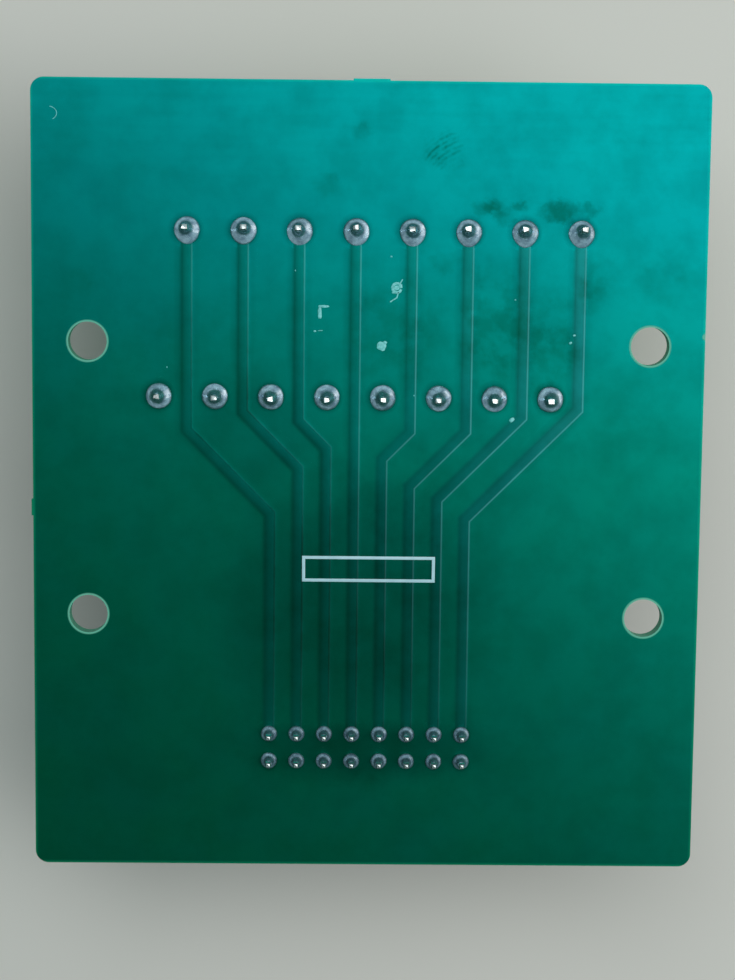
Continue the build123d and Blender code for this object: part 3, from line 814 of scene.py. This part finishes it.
@dataclass
class Tracks:
    """Copper tracks of both faces, with the mask that flows over their shoulders."""

    columns: int = 8
    terminal_pitch: float = 5.08
    pin_pitch: float = 2.54
    stagger: float = 1.27
    far_row_y: float = 22.6
    near_row_y: float = 7.6
    near_pins_y: float = -23.6
    far_pins_y: float = -26.14
    half_width: float = 0.44
    neck_half_width: float = 0.2
    height: float = 0.026
    film_t: float = 0.004
    foot_w: float = 0.14
    pool_w: float = 0.85
    board_t: float = 1.6
    sunk: float = 0.01
    rises: tuple[float, ...] = (20.5, 24.7, 26.5, 26.0, 25.6, 23.1, 21.9, 20.1)
    back_rise: float = 14.0
    straight_under: float = 0.25
    # Each flank's side, the strength of the painted highlight line on its thin-masked shoulder, the depth
    # of its pool of thick mask and painted shade, and the spread of its foot
    flanks: tuple[tuple[float, ...], ...] = ((1, 1.0, 0.3, 1.0), (-1, 0.2, 0.3, 2.2))
    far_start: float = 1.0
    near_start: float = 0.7
    pin_cover: float = 0.6
    neck_lap: float = 0.1
    neck_end: float = 0.55

    def section(self, half_width: float, base: float, up: float) -> list[Lip]:
        """Section of one track with the mask that pools beside it, darkened there with painted shade, and
        with a painted highlight on its shoulders.

        Args:
            half_width: Half the copper's width.
            base: Height of the board's face.
            up: One where the track stands up from that face, minus one where it hangs.

        Returns:
            The closed outline.
        """
        pool_w = min(self.pool_w, 1.5 * half_width)
        reach = half_width + self.foot_w + pool_w
        outline = []
        for side, shine, depth, spread in self.flanks:
            foot = half_width + self.foot_w * spread
            lips = [
                (reach, self.film_t, (0.0, 0.0, 0.0)),
                (foot + 0.45 * pool_w, self.film_t, (0.0, 0.6 * depth, 0.0)),
                (foot, self.film_t, (0.0, depth, 0.0)),
                (half_width + 0.05 * spread, 0.3 * self.height, (0.5, 0.6 * depth, 0.5 * shine)),
                (half_width, 0.6 * self.height, (0.9, 0.2, shine)),
                (half_width - 0.06 * spread, 0.84 * self.height, (1.0, 0.0, 0.8 * shine)),
                (half_width - 0.16 * spread, self.height, (1.0, 0.0, 0.0)),
            ]
            edge = [(side * across, base + up * rise, look) for across, rise, look in lips]
            outline += edge if side > 0 else edge[::-1]
        buried = base - up * self.sunk
        return [(reach, buried, (0.0,) * 3), *outline, (-reach, buried, (0.0,) * 3)]

    def route(self, start: Point, end: Point, bend_y: float) -> list[Point]:
        """Line that runs straight, crosses over at 45 degrees and runs straight again.

        Args:
            start: Where the line leaves its terminal.
            end: Where it reaches its pin.
            bend_y: Height of its lower bend.

        Returns:
            The points of the line.
        """
        across = abs(end[0] - start[0])
        bends = [(start[0], bend_y + across), (end[0], bend_y)] if across > self.straight_under else []
        return [start, *bends, end]

    def solder_side(self, material: Material) -> Item:
        """Builds the tracks from the far terminal row to the header's near row."""
        shape = bmesh.new()
        starts = [x + self.stagger for x in spaced(self.columns, self.terminal_pitch)]
        for x, pin_x, rise in zip(starts, spaced(self.columns, self.pin_pitch), self.rises):
            start = (x, self.far_row_y - self.far_start)
            line = self.route(start, (pin_x, self.near_pins_y + self.pin_cover), self.near_pins_y + rise)
            sweep(shape, line, self.section(self.half_width, 0.0, 1.0))
        piece = new_piece("solder_side_copper", shape, material)
        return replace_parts(piece, "solder_side_tracks")

    def component_side(self, material: Material) -> Item:
        """Builds the tracks from the near terminal row to the header's far row, between its pins."""
        shape = bmesh.new()
        base = -self.board_t
        half = self.pin_pitch / 2
        starts = [x - self.stagger for x in spaced(self.columns, self.terminal_pitch)]
        for x, pin_x in zip(starts, spaced(self.columns, self.pin_pitch)):
            neck_x = pin_x - half
            start = (x, self.near_row_y - self.near_start)
            line = self.route(start, (neck_x, self.near_pins_y + half), self.near_pins_y + self.back_rise)
            sweep(shape, line, self.section(self.half_width, base, -1.0))
            neck = [
                (neck_x, self.near_pins_y + half + self.neck_lap),
                (neck_x, self.far_pins_y + half),
                (pin_x - self.neck_end, self.far_pins_y + self.neck_end),
            ]
            sweep(shape, neck, self.section(self.neck_half_width, base, -1.0))
        piece = new_piece("component_side_copper", shape, material)
        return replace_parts(piece, "component_side_tracks")


# How far the ends of the legs lean, in millimetres, from the left
FAR_LEANS = (
    (-0.15, 0.27),
    (0.03, 0.3),
    (-0.17, 0.26),
    (-0.05, 0.36),
    (-0.1, 0.25),
    (-0.2, 0.34),
    (-0.1, 0.34),
    (0.14, 0.38),
)
NEAR_LEANS = (
    (-0.1, 0.06),
    (0.0, -0.03),
    (-0.03, -0.08),
    (0.0, -0.1),
    (0.02, -0.06),
    (-0.08, -0.08),
    (-0.05, -0.06),
    (-0.07, -0.08),
)


@dataclass
class SolderJoints:
    """Joints set by hand with an iron, each a little different from the next."""

    columns: int = 8
    terminal_pitch: float = 5.08
    pin_pitch: float = 2.54
    stagger: float = 1.27
    far_row_y: float = 22.6
    near_row_y: float = 7.6
    near_pins_y: float = -23.6
    far_pins_y: float = -26.14
    segments: int = 40
    seed: int = 16
    chin: float = 0.1
    halo_w: float = 0.5
    # The ring's outer edge is shifted to the left and up, as a painted shadow
    halo_shift: Point = (-0.12, 0.06)
    leg_r: float = 1.18
    pin_r: float = 0.75
    stray: float = 0.03
    swell: float = 0.03
    belly: float = 1.3
    lobes: tuple[int, ...] = (2, 3, 4)
    lobe_size: Point = (0.006, 0.03)
    foot_wave: float = 0.35
    swirl: float = 1.6
    sag: Point = (0.03, 0.11)
    sag_low: float = 2.2
    halo_reach: float = 1.75
    # Share of the joint's radius, height, and depth of the ring's darkening, which is flux film and painted
    # shadow
    halo_outline: tuple[Place, ...] = (
        (0.6, -0.01, 0.0),
        (0.6, 0.007, 1.0),
        (1.0, 0.007, 1.0),
        (1.35, 0.007, 0.45),
        (1.75, 0.007, 0.0),
        (1.75, -0.01, 0.0),
    )
    leg_profile: tuple[Point, ...] = (
        (1.1, -0.03),
        (1.16, 0.0),
        (1.18, 0.04),
        (1.16, 0.09),
        (1.1, 0.15),
        (1.02, 0.215),
        (0.93, 0.275),
        (0.84, 0.335),
        (0.75, 0.4),
        (0.67, 0.475),
        (0.6, 0.56),
        (0.54, 0.66),
        (0.49, 0.78),
        (0.455, 0.92),
        (0.43, 1.08),
        (0.405, 1.26),
        (0.37, 1.44),
        (0.31, 1.58),
        (0.22, 1.67),
        (0.1, 1.71),
    )
    tall_profile: tuple[Point, ...] = (
        (1.1, -0.03),
        (1.16, 0.0),
        (1.18, 0.04),
        (1.165, 0.095),
        (1.105, 0.158),
        (1.03, 0.228),
        (0.945, 0.298),
        (0.855, 0.368),
        (0.765, 0.444),
        (0.685, 0.525),
        (0.612, 0.613),
        (0.55, 0.712),
        (0.5, 0.825),
        (0.465, 0.955),
        (0.435, 1.11),
        (0.402, 1.29),
        (0.36, 1.46),
        (0.295, 1.585),
        (0.2, 1.665),
        (0.09, 1.7),
    )
    pin_profile: tuple[Point, ...] = (
        (0.7, -0.03),
        (0.74, 0.0),
        (0.75, 0.05),
        (0.73, 0.11),
        (0.68, 0.18),
        (0.61, 0.25),
        (0.53, 0.31),
        (0.46, 0.375),
        (0.41, 0.46),
        (0.38, 0.58),
        (0.36, 0.75),
        (0.35, 0.95),
        (0.34, 1.15),
        (0.31, 1.3),
        (0.24, 1.39),
        (0.12, 1.43),
    )

    def lump(
        self,
        shape: Mesh,
        place: Point,
        profile: tuple[Point, ...],
        dice: random.Random,
        chin: float = 0.0,
        lean: Point = (0.0, 0.0),
    ) -> None:
        """Adds one joint.

        Args:
            shape: Mesh that gets the joint, in millimetres.
            place: Centre of the joint.
            profile: Radius and height from its foot to its top.
            dice: Source of the small differences between joints.
            chin: How far the foot runs out along the track.
            lean: How far its top leans with the leg inside it.
        """
        foot_r = profile[0][0]
        stray = self.stray
        lean = (lean[0] + dice.uniform(-stray, stray), lean[1] + dice.uniform(-stray, stray))
        swell = dice.uniform(-self.swell, self.swell)
        phases = [dice.uniform(0, 2 * math.pi) for _ in self.lobes]
        sizes = [dice.uniform(*self.lobe_size) for _ in self.lobes]
        waves = list(zip(self.lobes, sizes, phases))
        swirl = dice.uniform(-self.swirl, self.swirl)
        sag = (dice.uniform(*self.sag), dice.uniform(0, 2 * math.pi))
        top_z = profile[-1][1]
        rings = []
        for radius, height in profile:
            rise = max(height, 0.0) / top_z
            bulge = math.sin(math.pi * min(1.0, rise * self.belly)) * swell
            ring = []
            for i in range(self.segments):
                angle = 2 * math.pi * i / self.segments
                turned = angle + swirl * rise
                wave = sum(size * math.cos(count * turned + phase) for count, size, phase in waves)
                r = radius * (1 + bulge + wave * (self.foot_wave + rise))
                x = place[0] + r * math.cos(angle) + lean[0] * rise
                y = place[1] + r * math.sin(angle) + lean[1] * rise
                y -= chin * max(0.0, -math.sin(angle)) ** 3 * (radius / foot_r) ** 4
                slump = math.sin(math.pi * min(1.0, self.sag_low * rise))
                uneven = sag[0] * slump * math.cos(angle + sag[1])
                ring.append(shape.verts.new((x, y, height + uneven)))
            rings.append(ring)
        bridge(shape, rings, smooth=True)
        shape.faces.new(reversed(rings[0]))
        shape.faces.new(rings[-1]).smooth = True

    def halo(self, shape: Mesh, place: Point, radius: float) -> None:
        """Adds a dark ring round one joint: a film of flux, with a painted shadow where its outer edge is
        shifted to the left.

        Args:
            shape: Mesh that gets the film, in millimetres.
            place: Centre of the joint.
            radius: Radius of the joint's foot.
        """
        lay = mask_layer(shape)
        rings = []
        for share, height, depth in self.halo_outline:
            slide = max(0.0, share - 1.0)
            out = radius * share if share < 1.0 else radius + slide / (self.halo_reach - 1.0) * self.halo_w
            ring = []
            for i in range(self.segments):
                angle = 2 * math.pi * i / self.segments
                x = place[0] + out * math.cos(angle) + self.halo_shift[0] * slide
                y = place[1] + out * math.sin(angle) + self.halo_shift[1] * slide
                vertex = shape.verts.new((x, y, height))
                vertex[lay] = (0.0, depth, 0.0)
                ring.append(vertex)
            rings.append(ring)
        bridge(shape, rings + rings[:1])

    def build(self, bright: Material, header_finish: Material, mask: Material) -> None:
        """Builds the joints of the terminals and of the header, and the dark rings of flux film and painted
        shadow round them.

        Args:
            bright: Finish of the joints of the terminals.
            header_finish: Finish of the joints of the header.
            mask: Finish of the rings.
        """
        dice = random.Random(self.seed)
        shape = bmesh.new()
        film = bmesh.new()
        columns = spaced(self.columns, self.terminal_pitch)
        for x, lean in zip(columns, FAR_LEANS):
            self.lump(shape, (x + self.stagger, self.far_row_y), self.leg_profile, dice, self.chin, lean)
            self.halo(film, (x + self.stagger, self.far_row_y), self.leg_r)
        for x, lean in zip(columns, NEAR_LEANS):
            self.lump(shape, (x - self.stagger, self.near_row_y), self.tall_profile, dice, 0.0, lean)
            self.halo(film, (x - self.stagger, self.near_row_y), self.leg_r)
        piece = new_piece("terminal_solder", shape, bright)
        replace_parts(piece, "terminal_solder_joints")
        shape = bmesh.new()
        for y in (self.near_pins_y, self.far_pins_y):
            for x in spaced(self.columns, self.pin_pitch):
                self.lump(shape, (x, y), self.pin_profile, dice)
                self.halo(film, (x, y), self.pin_r)
        piece = new_piece("header_solder", shape, header_finish)
        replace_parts(piece, "header_solder_joints")
        new_piece("flux_film_and_shadow", film, mask)


def add_prism(
    shape: Mesh,
    centre: Point,
    half: Point,
    levels: list[Point],
    slant: Point = (0.0, 0.0),
    lean: Point = (0.0, 0.0),
    burr: float = 0.0,
) -> None:
    """Adds an upright square bar whose width changes with its height.

    Args:
        shape: Mesh that gets the bar, in millimetres.
        centre: Its axis.
        half: Half its width and half its depth.
        levels: Heights from one end to the other, each with the share of the width kept there.
        slant: How steeply its top falls away in x and in y, seen from its highest corner.
        lean: How far its top is bent away from its axis, above the board's face.
        burr: How far the corners of its top stray from a square.
    """
    rings = []
    top = levels[-1][0]
    for height, share in levels:
        ring = []
        for side_x, side_y in SQUARE:
            x = side_x * half[0] * share
            y = side_y * half[1] * share
            drop = 0.0
            if height == top:
                phases = [own * centre[0] + a * side_x + b * side_y for own, a, b in BURR_PHASES]
                x += burr * math.sin(phases[0])
                y += burr * math.cos(phases[1])
                drop = slant[0] * x + slant[1] * y + abs(slant[0] * x) + abs(slant[1] * y)
            bent = max(height, 0.0) / top if top > 0 else 0.0
            place = (centre[0] + x + lean[0] * bent, centre[1] + y + lean[1] * bent, height - drop)
            ring.append(shape.verts.new(place))
        rings.append(ring)
    bridge(shape, rings)
    shape.faces.new(reversed(rings[0]))
    shape.faces.new(rings[-1])


@dataclass
class Contacts:
    """Stamped contacts of both decks, each a bar under the screw and a leg through the board."""

    columns: int = 8
    terminal_pitch: float = 5.08
    stagger: float = 1.27
    far_row_y: float = 22.6
    near_row_y: float = 7.6
    bar_w: float = 2.5
    bar_back: float = 0.4
    bar_ahead: float = 6.5
    lower_bar: Point = (-6.75, -5.95)
    upper_bar: Point = (-18.75, -17.95)
    leg_w: float = 1.0
    leg_d: float = 0.8
    tip_z: float = 1.9
    taper_z: float = 0.3
    taper_share: float = 0.76
    tip_share: float = 0.44
    neck_l: float = 0.1
    neck_share: float = 0.56
    leg_lap: float = 0.1
    slant_x: Point = (-0.04, 0.12)
    slant_y: Point = (0.02, 0.16)
    burr: float = 0.05
    edge: float = 0.09
    edge_angle: float = 0.5
    seed: int = 5

    def build(self, material: Material) -> None:
        """Builds the contacts of each deck as one piece."""
        decks = (
            ("lower", self.far_row_y, self.stagger, self.lower_bar, FAR_LEANS),
            ("upper", self.near_row_y, -self.stagger, self.upper_bar, NEAR_LEANS),
        )
        dice = random.Random(self.seed)
        for deck, row_y, shift, (bar_low, bar_high), leans in decks:
            shape = bmesh.new()
            for column, lean in zip(spaced(self.columns, self.terminal_pitch), leans):
                x = column + shift
                bar_half = (self.bar_w / 2, (self.bar_back + self.bar_ahead) / 2)
                bar_centre = (x, row_y + (self.bar_ahead - self.bar_back) / 2)
                add_prism(shape, bar_centre, bar_half, [(bar_low, 1.0), (bar_high, 1.0)])
                # The snipped end of each leg leans its own way, so that each catches the window differently
                slant = (dice.uniform(*self.slant_x), dice.uniform(*self.slant_y))
                neck = self.tip_z - self.neck_l
                leg = [
                    (bar_high - self.leg_lap, 1.0),
                    (-self.taper_z, 1.0),
                    (self.taper_z, self.taper_share),
                    (neck, self.neck_share),
                    (self.tip_z, self.tip_share),
                ]
                leg_half = (self.leg_w / 2, self.leg_d / 2)
                add_prism(shape, (x, row_y), leg_half, leg, slant, lean, self.burr)
            soften(shape, self.edge, self.edge_angle)
            for face in shape.faces:
                face.smooth = False
            piece = new_piece(f"{deck}_contact_stampings", shape, material)
            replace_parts(piece, f"{deck}_contacts")


def arc(centre: Point, radii: Point, step: float, counts: range) -> list[Point]:
    """Points along part of an ellipse, one at each count of the angular step."""
    angles = [count * step for count in counts]
    return [(centre[0] + radii[0] * math.cos(a), centre[1] + radii[1] * math.sin(a)) for a in angles]


@dataclass
class Board:
    """The board's own finish, the blank label printed on it and the flux dried on it."""

    label_centre: Point = (0.15, -8.15)
    label_half: Point = (5.95, 1.05)
    ink_w: float = 0.28
    ink_t: float = 0.07
    ink_shoulder: float = 0.6
    fleck_t: float = 0.04
    fleck_sides: int = 14
    fleck_shoulder: float = 0.92
    fleck_top: float = 0.6
    fleck_ragged: Point = (0.74, 1.0)
    fleck_square: float = 0.4
    mark_t: float = 0.025
    mark_top: float = 0.7
    seed: int = 7

    def label(self, material: Material) -> Item:
        """Prints an empty frame where the real board carries its lettering."""
        shape = bmesh.new()
        (cx, cy), (hx, hy) = self.label_centre, self.label_half
        half = self.ink_w / 2
        top = self.ink_t
        part = self.ink_shoulder
        right = [(half, SUNK_FOOT), (half, part * top), (part * half, top)]
        section = right + [(-across, height) for across, height in reversed(right)]
        rings = []
        for across, height in section:
            corners = [(cx + sx * (hx + across), cy + sy * (hy + across)) for sx, sy in SQUARE]
            rings.append([shape.verts.new((*corner, height)) for corner in corners])
        bridge(shape, rings + rings[:1])
        return new_piece("blank_label_frame", shape, material)

    def fleck(self, shape: Mesh, place: Point, half: Point, turn: float, dice: random.Random) -> None:
        """Adds one crumb of dried flux.

        Args:
            shape: Mesh that gets the crumb, in millimetres.
            place: Its centre.
            half: Half its length and half its width.
            turn: How far it is turned, in degrees.
            dice: Source of its ragged outline.
        """
        sides = self.fleck_sides
        spin = Matrix.Rotation(math.radians(turn), 2)
        shoulder = (self.fleck_shoulder, self.fleck_t * 0.5)
        rings = []
        for share, height in ((1.0, SUNK_FOOT), shoulder, (self.fleck_top, self.fleck_t)):
            ring = []
            for i in range(sides):
                angle = 2 * math.pi * i / sides
                square = 1 / max(abs(math.cos(angle)), abs(math.sin(angle)))
                boxy = 1 - self.fleck_square + self.fleck_square * square
                ragged = share * dice.uniform(*self.fleck_ragged) * boxy
                out = (half[0] * math.cos(angle) * ragged, half[1] * math.sin(angle) * ragged)
                point = spin @ Vector(out)
                ring.append(shape.verts.new((place[0] + point.x, place[1] + point.y, height)))
            rings.append(ring)
        bridge(shape, rings, smooth=True)
        shape.faces.new(reversed(rings[0]))
        shape.faces.new(rings[-1])

    def flux(self, material: Material) -> Item:
        """Scatters the flux marks where the photographed board has them."""
        dice = random.Random(self.seed)
        crumbs = (
            ((-4.5, 15.22), (0.2, 0.66), 0.0),
            ((-4.16, 15.84), (0.56, 0.13), 0.0),
            ((-4.94, 13.6), (0.13, 0.1), 10.0),
            ((-4.45, 13.65), (0.3, 0.04), 4.0),
            ((1.1, 12.26), (0.5, 0.44), -28.0),
            ((1.42, 12.62), (0.2, 0.16), 10.0),
            ((2.4, 17.56), (0.3, 0.26), 20.0),
            ((2.75, 17.75), (0.18, 0.22), -20.0),
            ((2.15, 17.2), (0.2, 0.12), 40.0),
            ((13.06, 5.7), (0.3, 0.22), 30.0),
            ((18.59, 13.44), (0.15, 0.1), 15.0),
            ((18.24, 12.76), (0.16, 0.12), 25.0),
            ((13.17, 16.6), (0.09, 0.08), 0.0),
            ((1.91, 20.38), (0.11, 0.08), 0.0),
            ((-6.74, 19.03), (0.06, 0.1), 0.0),
            ((4.11, 7.84), (0.06, 0.1), 0.0),
            ((-18.31, 10.21), (0.06, 0.09), 0.0),
        )
        shape = bmesh.new()
        for place, half, turn in crumbs:
            self.fleck(shape, place, half, turn, dice)
        marks = (
            (arc((2.44, 17.56), (0.4, 0.42), 0.6, range(11)), 0.13),
            ([(2.7, 17.9), (2.95, 18.35)], 0.06),
            ([(2.6, 17.2), (2.45, 16.7), (1.85, 16.3)], 0.06),
            (arc((-28.9, 32.8), (0.75, 0.6), 0.2, range(-5, 8)), 0.03),
        )
        for line, width in marks:
            top = self.mark_top * width
            film = [(width, SUNK_FOOT), (top, self.mark_t), (-top, self.mark_t), (-width, SUNK_FOOT)]
            sweep(shape, line, plain(film))
        return new_piece("dried_flux", shape, material)

    def build(self, mask: Material, ink: Material, flux: Material) -> None:
        """Dresses the board and adds what lies on it."""
        paint("pcb", mask)
        self.label(ink)
        self.flux(flux)


@dataclass
class TerminalBlock:
    """Moulded modules of the terminal block with their screws and clamps."""

    modules: int = 4
    columns: int = 8
    edge: float = 0.12

    def build(self, plastic: Material, zinc: Material, nickel: Material) -> None:
        """Dresses the modules, screws and clamps."""
        for module in range(1, self.modules + 1):
            paint(f"terminal_housing_{module}", plastic, self.edge)
        for deck in ("lower", "upper"):
            for number in range(1, self.columns + 1):
                paint(f"{deck}_screw_{number}", zinc)
                paint(f"{deck}_clamp_{number}", nickel)


@dataclass
class RibbonHeader:
    """Latched pin header with its shell, pins and two latches."""

    columns: int = 8
    pitch: float = 2.54
    rows_y: Point = (-23.6, -26.14)
    pin_w: float = 0.64
    low_z: float = -9.95
    high_z: float = 2.05
    point_l: float = 0.42
    point_share: float = 0.62
    end_l: float = 0.08
    end_share: float = 0.3
    shell_edge: float = 0.1
    slim_z: Point = (0.0, 0.4)
    slim_share: float = 0.74
    edge: float = 0.04
    edge_angle: float = 0.35

    def pins(self, material: Material) -> Item:
        """Builds the square wire pins, drawn to a blunt point at both ends."""
        shape = bmesh.new()
        half = self.pin_w / 2
        low, high = self.low_z, self.high_z
        levels = [
            (low, self.end_share),
            (low + self.end_l, self.point_share),
            (low + self.point_l, 1.0),
            (self.slim_z[0], 1.0),
            (self.slim_z[1], self.slim_share),
            (high - self.point_l, self.slim_share),
            (high - self.end_l, self.point_share),
            (high, self.end_share),
        ]
        for y in self.rows_y:
            for x in spaced(self.columns, self.pitch):
                add_prism(shape, (x, y), (half, half), levels)
        soften(shape, self.edge, self.edge_angle)
        piece = new_piece("pin_wires", shape, material)
        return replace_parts(piece, "header_pins")

    def build(self, shell: Material, latch: Material, plating: Material) -> None:
        """Dresses the shell and latches and builds the pins."""
        paint("header_body", shell, self.shell_edge)
        self.pins(plating)
        for side in ("left", "right"):
            paint(f"latch_{side}", latch, self.shell_edge)


@dataclass
class Studio:
    """Pale floor, soft daylight panel, room light and the camera that took the photograph."""

    floor_z: float = -25.2
    floor_half: float = 2000.0
    floor_colour: str = "cfc4b8"
    wall_light: str = "aac8d0"
    wall_shade: str = "889fa6"
    bright_side: Place = (0.6, 0.8, 0.0)
    ceiling_light: str = "2a2e30"
    window_colour: str = "e6f6ff"
    window_centre: Place = (120.7, 96.2, 420.0)
    window_size: Point = (680.0, 253.0)
    window_turn: float = -32.5
    window_watts: float = 2.2
    lamp_colour: str = "ffe4dc"
    lamp_centre: Place = (430.0, 90.0, 250.0)
    lamp_size: Point = (460.0, 460.0)
    lamp_watts: float = 0.45
    focal_px: float = 2135.0
    image_long_px: float = 980.0
    sensor_mm: float = 36.0
    ceiling_rise: Point = (0.6, 0.96)
    wall_rise: Point = (0.0, 0.3)
    side_spread: Point = (-0.9, 0.5)
    turn: Place = (0.1185, 0.0136, -0.0101)
    eye: Place = (-2.78, 22.2, 193.6)

    def floor(self) -> None:
        """Lays a plain matt floor under the part."""
        material, tree, output = new_material("matt_floor")
        plain = {"Base Color": linear(self.floor_colour), "Roughness": 0.9, "Specular IOR Level": 0.1}
        shader = add_node(tree, "ShaderNodeBsdfPrincipled", plain)
        tree.links.new(shader.outputs["BSDF"], output.inputs["Surface"])
        shape = bmesh.new()
        bmesh.ops.create_grid(shape, x_segments=1, y_segments=1, size=self.floor_half)
        mesh = bpy.data.meshes.new("floor")
        shape.to_mesh(mesh)
        shape.free()
        mesh.transform(Matrix.Translation((0, 0, self.floor_z * MM)) @ Matrix.Scale(MM, 4))
        mesh.materials.append(material)
        ground = bpy.data.objects.new("floor", mesh)
        bpy.context.scene.collection.objects.link(ground)

    def room(self) -> None:
        """Lights the part from pale walls, dimmer low down and to the lower left, and a darker ceiling."""
        world = bpy.data.worlds.new("room")
        bpy.context.scene.world = world
        world.use_nodes = True
        tree = world.node_tree
        tree.nodes.clear()
        direction = add_node(tree, "ShaderNodeTexCoord").outputs["Generated"]
        up = add_node(tree, "ShaderNodeSeparateXYZ", {}, {0: direction}).outputs["Z"]
        low, high = self.ceiling_rise
        rise = {"interpolation_type": "SMOOTHSTEP", "From Min": low, "From Max": high}
        share = add_node(tree, "ShaderNodeMapRange", rise, {"Value": up}).outputs["Result"]
        climb = {"From Min": self.wall_rise[0], "From Max": self.wall_rise[1]}
        level = add_node(tree, "ShaderNodeMapRange", climb, {"Value": up}).outputs["Result"]
        lift = {"operation": "DOT_PRODUCT", 1: self.bright_side}
        sideways = add_node(tree, "ShaderNodeVectorMath", lift, {0: direction}).outputs["Value"]
        spread = {"From Min": self.side_spread[0], "From Max": self.side_spread[1]}
        facing = add_node(tree, "ShaderNodeMapRange", spread, {"Value": sideways}).outputs["Result"]
        lit = add_node(tree, "ShaderNodeMath", {"operation": "MULTIPLY"}, {0: level, 1: facing}).outputs[0]
        walls = {**COLOUR_MIX, 6: linear(self.wall_shade), 7: linear(self.wall_light)}
        wall = add_node(tree, "ShaderNodeMix", walls, {0: lit}).outputs[2]
        layers = {**COLOUR_MIX, 0: share, 6: wall, 7: linear(self.ceiling_light)}
        glow = add_node(tree, "ShaderNodeMix", layers).outputs[2]
        light = add_node(tree, "ShaderNodeBackground", {"Strength": 1.0}, {"Color": glow}).outputs[0]
        add_node(tree, "ShaderNodeOutputWorld", {}, {"Surface": light})

    def softbox(self, name: str, centre: Place, size: Point, watts: float, colour: str) -> Item:
        """Hangs one soft rectangular light that faces the board.

        Args:
            name: Name of the light.
            centre: Where it hangs, in millimetres.
            size: Its two sides, in millimetres.
            watts: Its power.
            colour: Its colour, as sRGB hex digits.

        Returns:
            The light.
        """
        lamp = bpy.data.lights.new(name, "AREA")
        lamp.shape = "RECTANGLE"
        lamp.size = size[0] * MM
        lamp.size_y = size[1] * MM
        lamp.energy = watts
        lamp.color = linear(colour)[:3]
        holder = bpy.data.objects.new(name, lamp)
        bpy.context.scene.collection.objects.link(holder)
        holder.location = Vector(centre) * MM
        return holder

    def lights(self) -> None:
        """Hangs the window over the far end, where the mask reflects it, and a lamp on the right."""
        size = self.window_size
        window = self.softbox("window", self.window_centre, size, self.window_watts, self.window_colour)
        window.rotation_euler = (0.0, 0.0, math.radians(self.window_turn))
        lamp = self.softbox("lamp", self.lamp_centre, self.lamp_size, self.lamp_watts, self.lamp_colour)
        lamp.rotation_mode = "QUATERNION"
        lamp.rotation_quaternion = Vector(self.lamp_centre).to_track_quat("Z", "Y")

    def camera(self) -> None:
        """Sets the camera where the photograph was taken from."""
        lens = bpy.data.cameras.new("camera")
        lens.sensor_width = self.sensor_mm
        lens.lens = self.focal_px / self.image_long_px * self.sensor_mm
        lens.clip_start = 0.01
        lens.clip_end = 20.0
        holder = bpy.data.objects.new("camera", lens)
        bpy.context.scene.collection.objects.link(holder)
        turn = Vector(self.turn)
        to_camera = Matrix.Rotation(turn.length, 3, turn.normalized())
        holder.matrix_world = Matrix.Translation(Vector(self.eye) * MM) @ to_camera.transposed().to_4x4()
        bpy.context.scene.camera = holder

    def build(self) -> None:
        """Sets up the floor, the light and the camera."""
        self.floor()
        self.room()
        self.lights()
        self.camera()
        bpy.context.scene.view_settings.view_transform = "Standard"


def main() -> None:
    """Builds the part's pieces and finishes, and the studio round it."""
    logging.basicConfig(level=logging.INFO, format="%(name)s %(message)s")
    mask = SolderMask()
    over_laminate = mask.build("solder_mask_over_laminate", Backing.LAMINATE)
    over_copper = mask.build("solder_mask_over_copper", Backing.COPPER)
    Board().build(over_laminate, LEGEND_INK.build("legend_ink"), DRIED_FLUX.build("dried_flux"))
    tracks = Tracks()
    tracks.solder_side(over_copper)
    tracks.component_side(over_copper)
    tin = TIN_PLATE.build("tin_plate")
    solder = SOLDER.build("tin_lead_solder")
    SolderJoints().build(solder, DARKER_SOLDER.build("darker_solder"), over_laminate)
    Contacts().build(tin)
    zinc = ZINC_PLATE.build("zinc_plated_steel")
    nickel = NICKEL_PLATE.build("nickel_plated_brass")
    TerminalBlock().build(GREEN_POLYAMIDE.build("green_polyamide"), zinc, nickel)
    polyester = BLACK_POLYESTER.build("black_polyester")
    RibbonHeader().build(polyester, BLACK_POLYAMIDE.build("black_polyamide"), tin)
    Studio().build()


if __name__ == "__main__":
    main()
